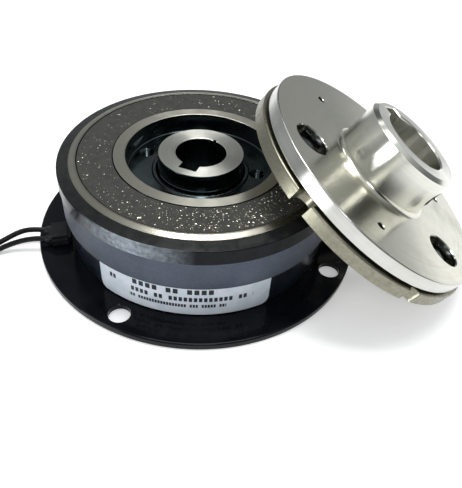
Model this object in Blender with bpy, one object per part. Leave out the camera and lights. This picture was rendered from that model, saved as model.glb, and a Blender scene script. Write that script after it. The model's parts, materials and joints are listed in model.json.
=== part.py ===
"""Flange-mounted electromagnetic clutch: a field (stator) with its rotor, lying on its
mounting flange, and an armature and hub unit that leans on the rotor's edge.

Lengths are given in millimetres and turned into metres by MM. +Z is up. The origin is at the
base, under the middle of the whole clutch's box, lead wires left out.
"""
import math

import bmesh
import bpy
from mathutils import Matrix, Vector

MM = 0.001

# ---- driving dimensions, millimetres and degrees ----------------------------------------
GAP = 0.3                    # clearance between pieces that touch on the real clutch
EDGE = 0.3                   # chamfer on machined edges
ROUND_STEPS = 48             # facets round the large turned pieces

FLANGE_R = 50.0              # mounting flange, 100 mm across
FLANGE_T = 2.0
FLANGE_BORE_R = 21.0         # locating bore, 42 mm
BOLT_CIRCLE_R = 45.0         # four holes on 90 mm
BOLT_HOLE_R = 3.1
BOLT_TURN = 67.0             # angle of the first hole

YOKE_R = 39.7                # field yoke, the steel cup that holds the coil
YOKE_TOP = 21.4
YOKE_WALL = 3.6
YOKE_FLOOR_T = 4.2
PASSAGE = (4.2, 7.2)         # heights of the lead wires' hole at the yoke wall's outer and inner face
PASSAGE_R = 1.1

BOBBIN_DROP = 2.0            # the bobbin's top below the yoke's
BOBBIN_WALL = 1.0
WINDING_DROP = 0.8           # the winding's outside, in from the bobbin's edge

LABEL_T = 0.15
LABEL_LOW = 2.5
LABEL_TOP = 13.0
LABEL_START = -127.0
LABEL_END = -55.5
LABEL_CORNER = 2.2

FACE_Z = 28.5                # friction face above the flange's underside
ROTOR_R = 41.5
FACE_R = 38.0
SHOULDER_DROP = 1.2          # the shoulder falls this much from the face to the rim
BAND_LOW = 22.7              # lower edge of the raised band on the rim
SKIRT_LOW = 13.5
SKIRT_R = 41.2
SKIRT_INNER_R = 40.2
DISC_LOW = 22.2
LINING_IN_R = 25.6
LINING_OUT_R = 36.0
LINING_DEPTH = 3.0
RECESS_R = 22.1
RECESS_Z = 22.6
SLEEVE_R = 20.6
SLEEVE_LOW = 4.0
FLUX_SLOTS = (30.0, 150.0, 270.0)                 # curved openings in the disc, under the lining
FLUX_SLOT_SPAN = 90.0
FLUX_SLOT_IN_R = 29.6
FLUX_SLOT_OUT_R = 32.0
ROTOR_LOW = 1.0
ROTOR_HUB_R = 12.9
ROTOR_BORE_R = 7.5
ROTOR_KEY_W = 5.0
ROTOR_KEY_DEPTH = 2.3
ROTOR_KEY_ANGLE = -108.0
PULLER_HOLE_R = 2.0
PULLER_HOLES = ((18.6, 160.0), (17.0, -1.0))      # radius and angle of each

TILT = 33.0                  # lean of the armature unit's axis from the vertical
LEAN_X = 47.76               # foot of that axis, from the field's axis
LEAN_Y = -3.2
ARMATURE_R = 39.5
ARMATURE_IN_R = 22.0
ARMATURE_T = 3.9
ARMATURE_TRAVEL = 0.4        # working air gap
PLATE_R = 38.5
PLATE_LOW = 4.5
PLATE_TOP = 8.45
SPIGOT_R = 17.0
SPIGOT_LOW = 1.6
BOSS_R = 15.5
BOSS_TOP = 21.65
BOSS_FILLET = 1.6
BOSS_EDGE = 0.9
HUB_BORE_R = 10.0
HUB_BORE_EDGE = 0.6
HUB_KEY_W = 6.0
HUB_KEY_DEPTH = 2.5
HUB_KEY_ANGLE = 131.0
RIVET_CIRCLE_R = 28.4
WINDOW_R = 5.2               # clearance holes in the hub's plate over the armature's rivets
ARMATURE_RIVETS = (-161.0, -41.0, 79.0)
HUB_RIVETS = (-101.0, 19.0, 139.0)
RIM_SLOTS = (-132.0, -12.0, 108.0)
RIM_SLOT_W = 5.2
RIM_SLOT_DEPTH = 5.6
BALANCE_CUT = -76.0          # a shallow round cut in the armature's rim
BALANCE_CUT_R = 2.0
BALANCE_CUT_DEPTH = 1.4
RIVET_SHANK_R = 1.5
RIVET_HOLE_R = 1.8
ARMATURE_RIVET_SEAT_R = 3.1  # counterbores in the friction face for the armature rivets' heads
ARMATURE_RIVET_SEAT = 1.3
HUB_RIVET_WINDOW_R = 3.4     # holes in the armature over the hub rivets' heads
HUB_RIVET_DEPTH = 7.2        # how high the hub rivets' holes reach
PIN_HOLE_R = 1.2             # narrow end of those holes, open to the plate's top
SPRING_LOW = 4.25
SPRING_T = 0.35
SPRING_W = 6.4
SPRING_SPAN = 60.0           # from a spring's hub rivet to its armature rivet
SPRING_SIDE = 1.2            # room beside and above the springs in the plate's groove
SPRING_HEADROOM = 0.4
SCREW_ANGLES = (-42.0, 131.0)
SCREW_HEIGHT = 15.0
SCREW_R = 2.5                # M5
SCREW_CLEARANCE_R = 2.8
SOCKET_R = 1.44              # corner radius of a 2.5 mm hexagon socket
SOCKET_DEPTH = 2.2

LEAD_R = 0.8                 # lead wires, 1.6 mm across the insulation
GLAND = (-41.4, -14.1)       # middle of the lead wires' gland
GLAND_SIZE = (6.4, 8.4, 3.6)
GLAND_ROUND = 1.0
LEAD_COIL_R = 9.0            # middle of a stored coil's turns
LEAD_COIL_SECTION = (5.2, 4.1)                    # its width and height
LEAD_COIL_EDGE = 0.5
LEAD_COIL_X = -75.5
LEAD_ENTRY_Y = (-21.8, -24.6)                     # where each lead reaches its coil

# Each lead's route outside the gland, from the field's axis. The last run heads into its coil.
LEAD_ROUTES = (
    ((-45.7, -13.2, 4.15), (-47.3, -13.3, 4.25), (-49.5, -13.55, 4.3), (-51.8, -14.0, 4.15),
     (-54.1, -15.0, 3.7), (-56.4, -16.55, 3.0), (-58.4, -18.05, 2.35), (-60.3, -19.45, 1.75),
     (-62.2, -20.55, 1.35), (-64.2, -21.3, 1.15), (-66.4, -21.7, 1.1), (-69.1, -21.8, 1.2)),
    ((-44.5, -16.85, 4.1), (-46.8, -17.1, 4.1), (-49.4, -17.45, 3.85), (-51.9, -17.9, 3.35),
     (-54.2, -18.5, 2.7), (-56.4, -19.4, 2.05), (-58.4, -20.6, 1.5), (-60.3, -21.85, 1.15),
     (-62.2, -22.95, 1.0), (-64.2, -23.8, 1.0), (-66.4, -24.4, 1.1), (-69.1, -24.6, 1.2)),
)

# ---- places worked out from them --------------------------------------------------------
TILT_RAD = math.radians(TILT)
RIGHT_EDGE = LEAN_X + PLATE_R * math.cos(TILT_RAD) + (PLATE_TOP - EDGE) * math.sin(TILT_RAD)
FIELD_X = -(RIGHT_EDGE - FLANGE_R) / 2            # the field's axis, from the origin
UNIT_Z = ARMATURE_R * math.sin(TILT_RAD) + ARMATURE_TRAVEL


def clear_scene():
    for old in list(bpy.data.objects):
        bpy.data.objects.remove(old, do_unlink=True)


def material(name, colour, roughness, metallic):
    made = bpy.data.materials.new(name)
    made.use_nodes = True
    shader = made.node_tree.nodes["Principled BSDF"]
    shader.inputs["Base Color"].default_value = (*colour, 1.0)
    shader.inputs["Roughness"].default_value = roughness
    shader.inputs["Metallic"].default_value = metallic
    return made


def empty(name, place, turn=(0, 0, 0)):
    made = bpy.data.objects.new(name, None)
    made.location = Vector(place) * MM
    made.rotation_euler = turn
    bpy.context.scene.collection.objects.link(made)
    return made


def add_object(name, data, look, parent, smooth_angle=32.0):
    made = bpy.data.objects.new(name, data)
    bpy.context.scene.collection.objects.link(made)
    made.parent = parent
    if look:
        data.materials.append(material(name, *look))
    if smooth_angle and made.type == "MESH":
        data.shade_smooth()
        data.set_sharp_from_angle(angle=math.radians(smooth_angle))
    return made


def finish_mesh(name, shape):
    bmesh.ops.recalc_face_normals(shape, faces=shape.faces)
    mesh = bpy.data.meshes.new(name)
    shape.to_mesh(mesh)
    shape.free()
    return mesh


def turned(name, profile, look, parent, steps=ROUND_STEPS):
    """A ring or disc: the closed outline of (radius, height) points turned about Z."""
    shape = bmesh.new()
    rings = []
    for step in range(steps):
        angle = 2 * math.pi * step / steps
        rings.append([shape.verts.new((r * MM * math.cos(angle), r * MM * math.sin(angle), z * MM))
                      for r, z in profile])
    for step in range(steps):
        here, after = rings[step], rings[(step + 1) % steps]
        for i in range(len(profile)):
            j = (i + 1) % len(profile)
            shape.faces.new((here[i], after[i], after[j], here[j]))
    return add_object(name, finish_mesh(name, shape), look, parent)


def swept_plate(name, columns, look, parent):
    """A curved plate: each column is a section of four corners, in order round it."""
    shape = bmesh.new()
    rows = [[shape.verts.new(Vector(corner) * MM) for corner in column] for column in columns]
    for here, after in zip(rows, rows[1:]):
        for i in range(4):
            j = (i + 1) % 4
            shape.faces.new((here[i], after[i], after[j], here[j]))
    shape.faces.new(rows[0])
    shape.faces.new(rows[-1])
    return add_object(name, finish_mesh(name, shape), look, parent)


def polar(radius, degrees, height=0.0):
    angle = math.radians(degrees)
    return Vector((radius * math.cos(angle), radius * math.sin(angle), height))


def stack(shape, place, axis, sections, steps=24):
    """Adds a round solid along axis: sections are (distance along it, radius)."""
    turn = Vector(axis).to_track_quat("Z", "Y").to_matrix().to_4x4()
    frame = Matrix.Translation(Vector(place)) @ turn
    rings = []
    for along, radius in sections:
        rings.append([shape.verts.new((frame @ polar(radius, 360 * k / steps, along)) * MM)
                      for k in range(steps)])
    for here, after in zip(rings, rings[1:]):
        for k in range(steps):
            shape.faces.new((here[k], here[(k + 1) % steps], after[(k + 1) % steps], after[k]))
    shape.faces.new(rings[0])
    shape.faces.new(rings[-1])


def block(shape, middle, size, degrees):
    """Adds a box of the given size, turned about Z by degrees and then placed."""
    frame = Matrix.Translation(Vector(middle)) @ Matrix.Rotation(math.radians(degrees), 4, "Z")
    frame = Matrix.Scale(MM, 4) @ frame @ Matrix.Diagonal((*size, 1.0))
    bmesh.ops.create_cube(shape, size=1.0, matrix=frame)


def cutter(name, parent, build):
    shape = bmesh.new()
    build(shape)
    made = add_object(name, finish_mesh(name, shape), None, parent, smooth_angle=0)
    made.hide_render = True
    made.display_type = "WIRE"
    return made


def cut(target, *tools):
    for tool in tools:
        step = target.modifiers.new(tool.name, "BOOLEAN")
        step.operation = "DIFFERENCE"
        step.solver = "EXACT"
        step.object = tool


def chamfered(r_in, r_out, low, high, edge):
    """Outline of a plain ring with a small chamfer on its two outer corners."""
    return [(r_in, low), (r_out - edge, low), (r_out, low + edge),
            (r_out, high - edge), (r_out - edge, high), (r_in, high)]


# ---- the field: everything that stays still ---------------------------------------------
def make_flange(parent):
    flange = turned("mounting_flange", chamfered(FLANGE_BORE_R, FLANGE_R, 0.0, FLANGE_T, EDGE),
                    ((0.01, 0.01, 0.012), 0.12, 0.0), parent, steps=64)

    def holes(shape):
        for quarter in range(4):
            place = polar(BOLT_CIRCLE_R, BOLT_TURN + 90 * quarter, -1.0)
            stack(shape, place, (0, 0, 1), ((0, BOLT_HOLE_R), (FLANGE_T + 2, BOLT_HOLE_R)), 20)

    cut(flange, cutter("cut_bolt_holes", parent, holes))


def make_yoke(parent):
    low = FLANGE_T + GAP
    inner = YOKE_R - YOKE_WALL
    core = FLANGE_BORE_R + YOKE_WALL
    profile = [(FLANGE_BORE_R, low), (YOKE_R, low), (YOKE_R, YOKE_TOP - 0.5),
               (YOKE_R - 0.5, YOKE_TOP), (inner, YOKE_TOP), (inner, low + YOKE_FLOOR_T),
               (core, low + YOKE_FLOOR_T), (core, YOKE_TOP), (FLANGE_BORE_R, YOKE_TOP)]
    yoke = turned("field_yoke", profile, ((0.02, 0.022, 0.03), 0.3, 0.6), parent)

    def passage(shape):
        angle = math.degrees(math.atan2(GLAND[1], GLAND[0]))
        outside, inside = polar(YOKE_R, angle, PASSAGE[0]), polar(inner, angle, PASSAGE[1])
        along = (outside - inside).normalized()
        length = (outside - inside).length
        stack(shape, inside - 2 * along, along, ((0, PASSAGE_R), (length + 4, PASSAGE_R)), 12)

    cut(yoke, cutter("cut_lead_passage", parent, passage))


def make_coil(parent):
    low = FLANGE_T + GAP + YOKE_FLOOR_T + GAP
    inner = FLANGE_BORE_R + YOKE_WALL + GAP
    outer = YOKE_R - YOKE_WALL - GAP
    top = YOKE_TOP - BOBBIN_DROP
    wall = BOBBIN_WALL
    profile = [(inner, low), (outer, low), (outer, low + wall), (inner + wall, low + wall),
               (inner + wall, top - wall), (outer, top - wall), (outer, top), (inner, top)]
    turned("coil_bobbin", profile, ((0.75, 0.72, 0.62), 0.5, 0.0), parent, steps=32)
    turned("coil_winding", chamfered(inner + wall + GAP, outer - WINDING_DROP,
                                     low + wall + GAP, top - wall - GAP, 0.4),
           ((0.55, 0.2, 0.06), 0.35, 0.9), parent, steps=32)
    turned("potting_ring", chamfered(inner, outer, top + GAP, YOKE_TOP - 0.2, 0.2),
           ((0.03, 0.03, 0.03), 0.6, 0.0), parent, steps=32)


def make_label(parent):
    inner = YOKE_R + GAP
    outer = inner + LABEL_T
    steps = 16
    corner = math.degrees(LABEL_CORNER / outer)
    stops = [LABEL_START + corner * k / 4 for k in range(4)]
    span = LABEL_END - LABEL_START - 2 * corner
    stops += [LABEL_START + corner + span * k / steps for k in range(steps + 1)]
    stops += [LABEL_END - corner * (3 - k) / 4 for k in range(4)]
    columns = []
    for angle in stops:
        inset = corner - min(angle - LABEL_START, LABEL_END - angle, corner)
        lift = LABEL_CORNER * (1 - math.sqrt(max(0.0, 1 - (inset / corner) ** 2)))
        low = LABEL_LOW + lift
        columns.append((polar(inner, angle, low), polar(outer, angle, low),
                        polar(outer, angle, LABEL_TOP), polar(inner, angle, LABEL_TOP)))
    swept_plate("name_label", columns, ((0.72, 0.75, 0.8), 0.35, 0.0), parent)


def make_gland(parent):
    """A soft rubber block with rounded upper edges, against the yoke on the flange's top."""
    shape = bmesh.new()
    angle = math.degrees(math.atan2(GLAND[1], GLAND[0]))
    middle = FLANGE_T + GAP + GLAND_SIZE[2] / 2
    block(shape, (*GLAND, middle), GLAND_SIZE, 180 + angle)
    upper = [edge for edge in shape.edges
             if all(v.co.z > middle * MM for v in edge.verts) or edge.verts[0].co.xy == edge.verts[1].co.xy]
    bmesh.ops.bevel(shape, geom=upper, offset=GLAND_ROUND * MM, segments=3, affect="EDGES")
    gland = add_object("lead_gland", finish_mesh("lead_gland", shape),
                       ((0.012, 0.012, 0.013), 0.55, 0.0), parent)

    def clear_yoke(tool):
        stack(tool, (0, 0, 0), (0, 0, 1), ((0, YOKE_R + GAP), (20, YOKE_R + GAP)), ROUND_STEPS)

    cut(gland, cutter("cut_gland_back", parent, clear_yoke))


def smooth_route(points, spacing):
    """Evenly spaced points on a smooth curve through the given ones."""
    points = [Vector(p) for p in points]
    ends = [2 * points[0] - points[1], *points, 2 * points[-1] - points[-2]]
    dense = []
    for a, b, c, d in zip(ends, ends[1:], ends[2:], ends[3:]):
        for k in range(20):
            t = k / 20
            dense.append(0.5 * (2 * b + (c - a) * t + (2 * a - 5 * b + 4 * c - d) * t * t
                                + (3 * b - a - 3 * c + d) * t ** 3))
    dense.append(points[-1])
    lengths = [0.0]
    for a, b in zip(dense, dense[1:]):
        lengths.append(lengths[-1] + (b - a).length)
    count = round(lengths[-1] / spacing)
    result = []
    for k in range(count + 1):
        want = lengths[-1] * k / count
        at = max(i for i, along in enumerate(lengths) if along <= want + 1e-9)
        at = min(at, len(dense) - 2)
        part = (want - lengths[at]) / (lengths[at + 1] - lengths[at])
        result.append(dense[at].lerp(dense[at + 1], part))
    return result


def tube(name, points, radius, look, parent):
    curve = bpy.data.curves.new(name, "CURVE")
    curve.dimensions = "3D"
    curve.bevel_depth = radius * MM
    curve.bevel_resolution = 2
    curve.use_fill_caps = True
    spline = curve.splines.new("POLY")
    spline.points.add(len(points) - 1)
    for point, place in zip(spline.points, points):
        point.co = (*(place * MM), 1.0)
    add_object(name, curve, look, parent)


def make_leads(parent):
    black = ((0.01, 0.01, 0.011), 0.42, 0.0)
    width, height = LEAD_COIL_SECTION
    for number, (route, entry) in enumerate(zip(LEAD_ROUTES, LEAD_ENTRY_Y), start=1):
        tube(f"lead_wire_{number}", smooth_route(route, 4.8 * LEAD_R), LEAD_R, black, parent)
        side = 1 if number == 1 else -1
        middle = entry + side * (LEAD_COIL_R + 2 * LEAD_R)
        holder = empty(f"lead_coil_{number}_middle", (LEAD_COIL_X, middle, 0))
        holder.parent = parent
        section = chamfered(LEAD_COIL_R - width / 2, LEAD_COIL_R + width / 2, 0.0, height,
                            LEAD_COIL_EDGE)
        turned(f"lead_coil_{number}", section, black, holder, steps=40)


# ---- the rotor --------------------------------------------------------------------------
def make_rotor(parent):
    rim_top = FACE_Z - SHOULDER_DROP
    groove = FACE_Z - LINING_DEPTH
    bore = ROTOR_HUB_R + GAP
    profile = [(bore, SLEEVE_LOW), (SLEEVE_R, SLEEVE_LOW), (SLEEVE_R, DISC_LOW), (SKIRT_INNER_R, DISC_LOW),
               (SKIRT_INNER_R, SKIRT_LOW), (SKIRT_R, SKIRT_LOW), (SKIRT_R, BAND_LOW),
               (ROTOR_R, BAND_LOW + 0.15), (ROTOR_R, rim_top), (FACE_R, FACE_Z),
               (LINING_OUT_R, FACE_Z), (LINING_OUT_R, groove), (LINING_IN_R, groove),
               (LINING_IN_R, FACE_Z), (RECESS_R, FACE_Z), (RECESS_R, RECESS_Z),
               (bore, RECESS_Z)]
    rotor = turned("rotor_body", profile, ((0.03, 0.035, 0.04), 0.22, 0.8), parent)

    def openings(shape):
        for radius, angle in PULLER_HOLES:
            stack(shape, polar(radius, angle, RECESS_Z - 9.0), (0, 0, 1),
                  ((0, PULLER_HOLE_R), (12, PULLER_HOLE_R)), 12)
        corners = ((FLUX_SLOT_IN_R, DISC_LOW - 1), (FLUX_SLOT_OUT_R, DISC_LOW - 1),
                   (FLUX_SLOT_OUT_R, groove + 1), (FLUX_SLOT_IN_R, groove + 1))
        for middle in FLUX_SLOTS:
            columns = [middle + FLUX_SLOT_SPAN * (k / 8 - 0.5) for k in range(9)]
            rows = [[shape.verts.new(polar(r, angle, z) * MM) for r, z in corners]
                    for angle in columns]
            for here, after in zip(rows, rows[1:]):
                for i in range(4):
                    shape.faces.new((here[i], after[i], after[(i + 1) % 4], here[(i + 1) % 4]))
            shape.faces.new(rows[0])
            shape.faces.new(rows[-1])

    cut(rotor, cutter("cut_rotor_openings", parent, openings))
    turned("friction_lining", chamfered(LINING_IN_R + GAP, LINING_OUT_R - GAP, groove + GAP,
                                        FACE_Z - 0.1, 0.1),
           ((0.09, 0.088, 0.08), 0.8, 0.0), parent)


def make_rotor_hub(parent):
    low = ROTOR_LOW
    top = FACE_Z + 0.1
    profile = [(ROTOR_BORE_R + EDGE, low), (ROTOR_HUB_R - EDGE, low), (ROTOR_HUB_R, low + EDGE),
               (ROTOR_HUB_R, top - EDGE), (ROTOR_HUB_R - EDGE, top), (ROTOR_BORE_R + EDGE, top),
               (ROTOR_BORE_R, top - EDGE), (ROTOR_BORE_R, low + EDGE)]
    hub = turned("rotor_hub", profile, ((0.62, 0.62, 0.58), 0.25, 1.0), parent)

    def keyway(shape):
        reach = ROTOR_BORE_R + ROTOR_KEY_DEPTH
        middle = polar(reach / 2, ROTOR_KEY_ANGLE, FACE_Z / 2)
        block(shape, middle, (reach, ROTOR_KEY_W, FACE_Z + 8), ROTOR_KEY_ANGLE)

    cut(hub, cutter("cut_rotor_keyway", parent, keyway))


# ---- the armature unit, in its own frame: Z along its axis, X down the lean ---------------
def fillet(radius, low, size, steps=3):
    """The curve from a flat face into a boss, as (radius, height) points."""
    middle_r = radius + size
    middle_z = low + size
    return [(middle_r - size * math.sin(math.pi / 2 * k / steps),
             middle_z - size * math.cos(math.pi / 2 * k / steps)) for k in range(steps + 1)]


def make_hub(parent):
    groove_in = RIVET_CIRCLE_R - SPRING_W / 2 - SPRING_SIDE
    groove_out = RIVET_CIRCLE_R + SPRING_W / 2 + SPRING_SIDE
    roof = SPRING_LOW + SPRING_T + SPRING_HEADROOM
    bore_edge = HUB_BORE_R + HUB_BORE_EDGE
    profile = [(bore_edge, SPIGOT_LOW), (SPIGOT_R - 0.5, SPIGOT_LOW),
               (SPIGOT_R, SPIGOT_LOW + 0.5), (SPIGOT_R, PLATE_LOW), (groove_in, PLATE_LOW),
               (groove_in, roof), (groove_out, roof), (groove_out, PLATE_LOW),
               (PLATE_R - EDGE, PLATE_LOW), (PLATE_R, PLATE_LOW + EDGE),
               (PLATE_R, PLATE_TOP - EDGE), (PLATE_R - EDGE, PLATE_TOP)]
    profile += fillet(BOSS_R, PLATE_TOP, BOSS_FILLET)
    profile += [(BOSS_R, BOSS_TOP - BOSS_EDGE), (BOSS_R - BOSS_EDGE, BOSS_TOP),
                (bore_edge, BOSS_TOP), (HUB_BORE_R, BOSS_TOP - HUB_BORE_EDGE),
                (HUB_BORE_R, SPIGOT_LOW + HUB_BORE_EDGE)]
    hub = turned("armature_hub", profile, ((0.72, 0.72, 0.7), 0.18, 1.0), parent)

    def openings(shape):
        for angle in ARMATURE_RIVETS:
            stack(shape, polar(RIVET_CIRCLE_R, angle, 3.0), (0, 0, 1),
                  ((0, WINDOW_R), (8, WINDOW_R)), 20)
        neck = HUB_RIVET_DEPTH - SPRING_LOW
        for angle in HUB_RIVETS:
            stack(shape, polar(RIVET_CIRCLE_R, angle, SPRING_LOW), (0, 0, 1),
                  ((0, RIVET_HOLE_R), (neck, RIVET_HOLE_R), (neck + 0.6, PIN_HOLE_R),
                   (neck + 3, PIN_HOLE_R)), 12)
        for angle in SCREW_ANGLES:
            stack(shape, polar(6.0, angle, SCREW_HEIGHT), polar(1, angle),
                  ((0, SCREW_CLEARANCE_R), (12, SCREW_CLEARANCE_R)), 12)

    def keyway(shape):
        reach = HUB_BORE_R + HUB_KEY_DEPTH
        middle = polar(reach / 2, HUB_KEY_ANGLE, BOSS_TOP / 2)
        block(shape, middle, (reach, HUB_KEY_W, BOSS_TOP + 8), HUB_KEY_ANGLE)

    cut(hub, cutter("cut_hub_openings", parent, openings), cutter("cut_hub_keyway", parent, keyway))


def make_round_piece(name, place, axis, sections, look, parent, steps=12):
    shape = bmesh.new()
    stack(shape, place, axis, sections, steps)
    return add_object(name, finish_mesh(name, shape), look, parent)


def make_set_screws(parent):
    for number, angle in enumerate(SCREW_ANGLES, start=1):
        start = HUB_BORE_R + HUB_KEY_DEPTH + GAP if angle == HUB_KEY_ANGLE else HUB_BORE_R + GAP
        screw = make_round_piece(
            f"set_screw_{number}", polar(start, angle, SCREW_HEIGHT), polar(1, angle),
            ((0, SCREW_R - 0.6), (0.6, SCREW_R), (BOSS_R - start - 1.0, SCREW_R)),
            ((0.03, 0.03, 0.035), 0.35, 0.9), parent)

        def socket(shape, angle=angle):
            stack(shape, polar(BOSS_R - SOCKET_DEPTH, angle, SCREW_HEIGHT), polar(1, angle),
                  ((0, SOCKET_R), (3, SOCKET_R)), 6)

        cut(screw, cutter(f"cut_socket_{number}", parent, socket))


def make_springs(parent):
    top = SPRING_LOW + SPRING_T
    holes = cutter("cut_spring_holes", parent, lambda shape: [
        stack(shape, polar(RIVET_CIRCLE_R, angle, SPRING_LOW - 1), (0, 0, 1),
              ((0, RIVET_HOLE_R), (3, RIVET_HOLE_R)), 12)
        for angle in (*ARMATURE_RIVETS, *HUB_RIVETS)])
    end = math.degrees(SPRING_W / 2 / RIVET_CIRCLE_R)
    for number, start in enumerate(HUB_RIVETS, start=1):
        round_end = [end * (1 - math.cos(math.pi / 2 * k / 4)) for k in range(1, 5)]
        stops = [start - end + d for d in round_end]
        stops += [start + SPRING_SPAN * k / 9 for k in range(1, 9)]
        stops += [start + SPRING_SPAN + end - d for d in reversed(round_end)]
        columns = []
        for angle in stops:
            past = max(start - angle, angle - start - SPRING_SPAN, 0) / end
            half = SPRING_W / 2 * math.sqrt(max(0.0, 1 - past * past))
            inner, outer = RIVET_CIRCLE_R - half, RIVET_CIRCLE_R + half
            columns.append((polar(inner, angle, SPRING_LOW), polar(outer, angle, SPRING_LOW),
                            polar(outer, angle, top), polar(inner, angle, top)))
        spring = swept_plate(f"leaf_spring_{number}", columns,
                             ((0.5, 0.5, 0.5), 0.3, 1.0), parent)
        cut(spring, holes)


def make_hub_rivets(parent):
    for number, angle in enumerate(HUB_RIVETS, start=1):
        make_round_piece(f"hub_rivet_{number}", polar(RIVET_CIRCLE_R, angle, 2.9), (0, 0, 1),
                         ((0, 2.2), (0.4, 2.6), (1.0, 2.6), (1.0, RIVET_SHANK_R),
                          (3.9, RIVET_SHANK_R)),
                         ((0.5, 0.5, 0.5), 0.3, 1.0), parent)


def make_armature(parent):
    profile = [(ARMATURE_IN_R, 0), (ARMATURE_R - EDGE, 0), (ARMATURE_R, EDGE),
               (ARMATURE_R, ARMATURE_T - 0.7), (ARMATURE_R - 0.2, ARMATURE_T - 0.2),
               (ARMATURE_R - 0.7, ARMATURE_T), (ARMATURE_IN_R, ARMATURE_T)]
    plate = turned("armature_plate", profile, ((0.55, 0.54, 0.48), 0.4, 1.0), parent)

    def openings(shape):
        seat = 1 + ARMATURE_RIVET_SEAT
        for angle in ARMATURE_RIVETS:
            stack(shape, polar(RIVET_CIRCLE_R, angle, -1.0), (0, 0, 1),
                  ((0, ARMATURE_RIVET_SEAT_R), (seat, ARMATURE_RIVET_SEAT_R),
                   (seat, RIVET_HOLE_R), (6, RIVET_HOLE_R)), 12)
        for angle in HUB_RIVETS:
            stack(shape, polar(RIVET_CIRCLE_R, angle, -1.0), (0, 0, 1),
                  ((0, HUB_RIVET_WINDOW_R), (6, HUB_RIVET_WINDOW_R)), 12)
        round_r = RIM_SLOT_W / 2
        for angle in RIM_SLOTS:
            inner = ARMATURE_R - RIM_SLOT_DEPTH + round_r
            outline = [polar(inner, angle) + polar(round_r, angle + 90 + 180 * k / 8)
                       for k in range(9)]
            outline += [polar(ARMATURE_R + 3, angle) + polar(round_r, angle - 90),
                        polar(ARMATURE_R + 3, angle) + polar(round_r, angle + 90)]
            low = [shape.verts.new((point + Vector((0, 0, -1))) * MM) for point in outline]
            high = [shape.verts.new((point + Vector((0, 0, 6))) * MM) for point in outline]
            shape.faces.new(low)
            shape.faces.new(high)
            for k in range(len(outline)):
                after = (k + 1) % len(outline)
                shape.faces.new((low[k], low[after], high[after], high[k]))
        middle = ARMATURE_R + BALANCE_CUT_R - BALANCE_CUT_DEPTH
        stack(shape, polar(middle, BALANCE_CUT, -1.0), (0, 0, 1),
              ((0, BALANCE_CUT_R), (6, BALANCE_CUT_R)), 12)

    cut(plate, cutter("cut_armature_openings", parent, openings))


def make_armature_rivets(parent):
    for number, angle in enumerate(ARMATURE_RIVETS, start=1):
        make_round_piece(f"armature_rivet_{number}", polar(RIVET_CIRCLE_R, angle, 0.3), (0, 0, 1),
                         ((0, 2.6), (0.6, 2.6), (0.6, RIVET_SHANK_R), (4.75, RIVET_SHANK_R),
                          (4.75, 3.4), (5.6, 3.4), (6.3, 2.7), (6.6, 1.6)),
                         ((0.6, 0.6, 0.6), 0.25, 1.0), parent)


def main():
    clear_scene()
    field = empty("field_axis", (FIELD_X, 0, 0))
    make_flange(field)
    make_yoke(field)
    make_coil(field)
    make_label(field)
    make_gland(field)
    make_leads(field)
    rotor = empty("rotor_axis", (FIELD_X, 0, 0))
    make_rotor(rotor)
    make_rotor_hub(rotor)
    unit = empty("hub_axis", (FIELD_X + LEAN_X, LEAN_Y, UNIT_Z), (0, TILT_RAD, 0))
    make_hub(unit)
    make_set_screws(unit)
    make_springs(unit)
    make_hub_rivets(unit)
    make_armature(unit)
    make_armature_rivets(unit)


main()
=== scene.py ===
"""Looks of a flange-mounted electromagnetic clutch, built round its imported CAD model.

Lengths are in millimetres and turned into metres by MM. FIELD is the frame of the field and
rotor, with Z up their common axis. UNIT is the frame of the leaning armature unit, with Z along
its own axis and X down the lean.
"""
import json
import math
import random
from functools import reduce

import bmesh
import bpy
from mathutils import Matrix, Vector, noise


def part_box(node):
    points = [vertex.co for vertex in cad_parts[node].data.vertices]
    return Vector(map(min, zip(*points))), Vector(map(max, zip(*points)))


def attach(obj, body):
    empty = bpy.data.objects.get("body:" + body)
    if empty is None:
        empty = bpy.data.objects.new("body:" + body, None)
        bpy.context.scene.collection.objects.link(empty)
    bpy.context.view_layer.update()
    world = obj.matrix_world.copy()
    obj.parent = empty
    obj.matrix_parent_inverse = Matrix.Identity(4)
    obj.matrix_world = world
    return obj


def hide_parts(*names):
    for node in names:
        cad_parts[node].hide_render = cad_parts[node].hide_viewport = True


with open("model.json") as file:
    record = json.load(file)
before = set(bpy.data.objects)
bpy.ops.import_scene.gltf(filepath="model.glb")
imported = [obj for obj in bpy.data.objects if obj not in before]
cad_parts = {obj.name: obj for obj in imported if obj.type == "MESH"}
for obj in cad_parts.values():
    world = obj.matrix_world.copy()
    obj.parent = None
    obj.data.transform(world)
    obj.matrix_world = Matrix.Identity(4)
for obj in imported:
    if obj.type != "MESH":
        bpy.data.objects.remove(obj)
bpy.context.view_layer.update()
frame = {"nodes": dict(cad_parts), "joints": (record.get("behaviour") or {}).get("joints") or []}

MM = 0.001
NODES = frame["nodes"]
JOINTS = {joint["name"]: joint for joint in frame["joints"]}

# ---- the two frames, from the CAD
flange_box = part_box("mounting_flange")
FIELD_X = (flange_box[0].x + flange_box[1].x) / 2 / MM
FIELD = Matrix.Translation((FIELD_X * MM, 0, 0))
UNIT_AXIS = Vector(JOINTS["hub_spin"]["axis"])
TILT = math.atan2(UNIT_AXIS.x, UNIT_AXIS.z)
UNIT = Matrix.Translation(JOINTS["hub_spin"]["pos_m"]) @ Matrix.Rotation(TILT, 4, "Y")


def measured(node, where):
    """A round node's inner and outer radius, lowest and highest point, in its own frame."""
    back = where.inverted()
    points = [back @ vertex.co / MM for vertex in NODES[node].data.vertices]
    radii = [point.xy.length for point in points]
    heights = [point.z for point in points]
    return min(radii), max(radii), min(heights), max(heights)


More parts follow.
